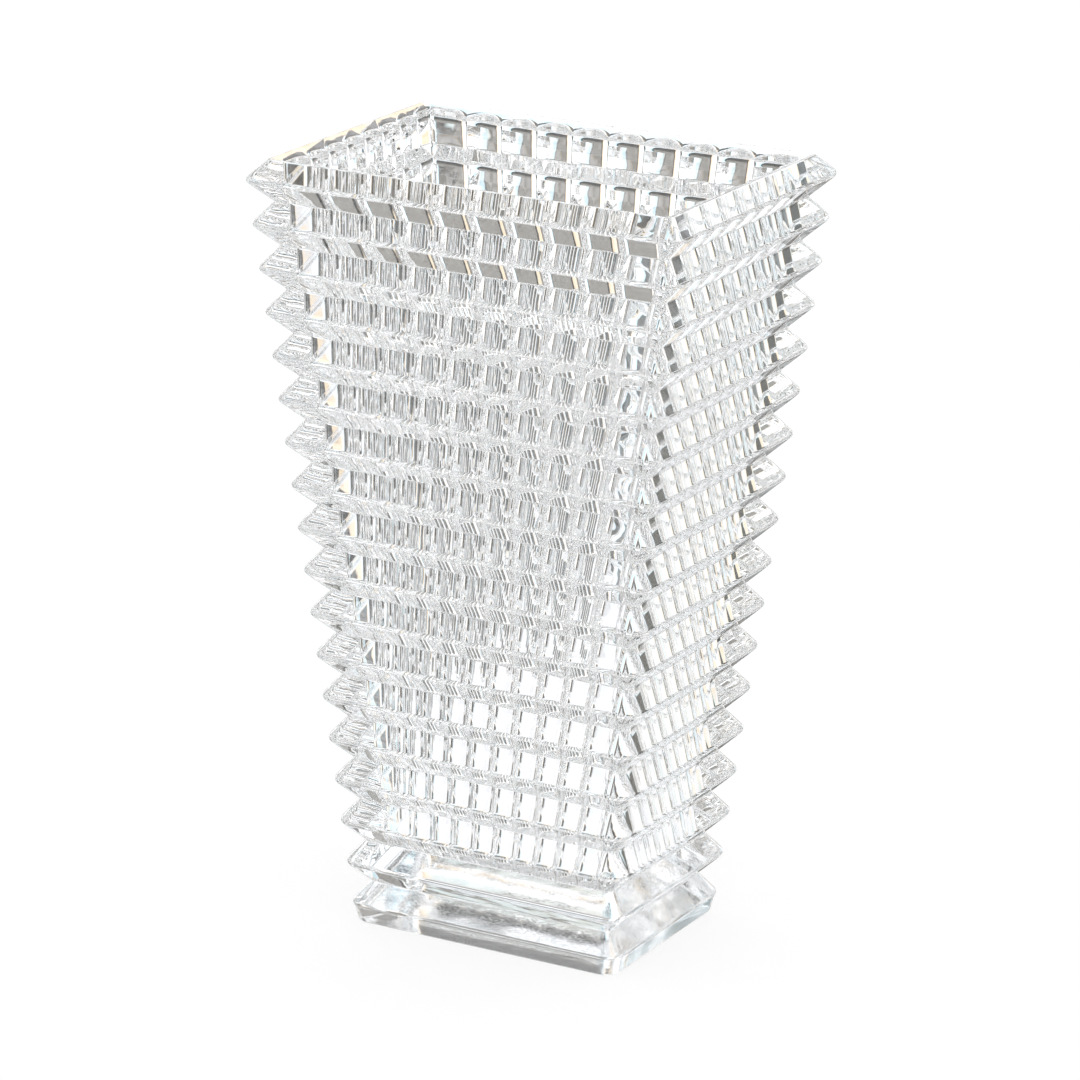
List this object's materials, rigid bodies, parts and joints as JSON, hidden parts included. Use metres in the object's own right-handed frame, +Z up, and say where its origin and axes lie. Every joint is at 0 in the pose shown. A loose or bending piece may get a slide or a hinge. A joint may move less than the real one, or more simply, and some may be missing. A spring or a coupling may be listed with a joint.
{
  "type": "cut crystal vase",
  "caption": "Tall rectangular tapering vase in clear glass, level V ridges outside and upright flutes inside, open at the top.",
  "frame": {"origin": "centre of the flat underside, on the vase's own axis", "axes": "+Z up the vase to its mouth, X across the wide faces, Y through the narrow way"},
  "size_m": [0.145, 0.1026, 0.24],
  "materials": {
    "crystal": "polished clear"
  },
  "bodies": {
    "root": {"vase_body": "crystal"}
  },
  "joints": []
}
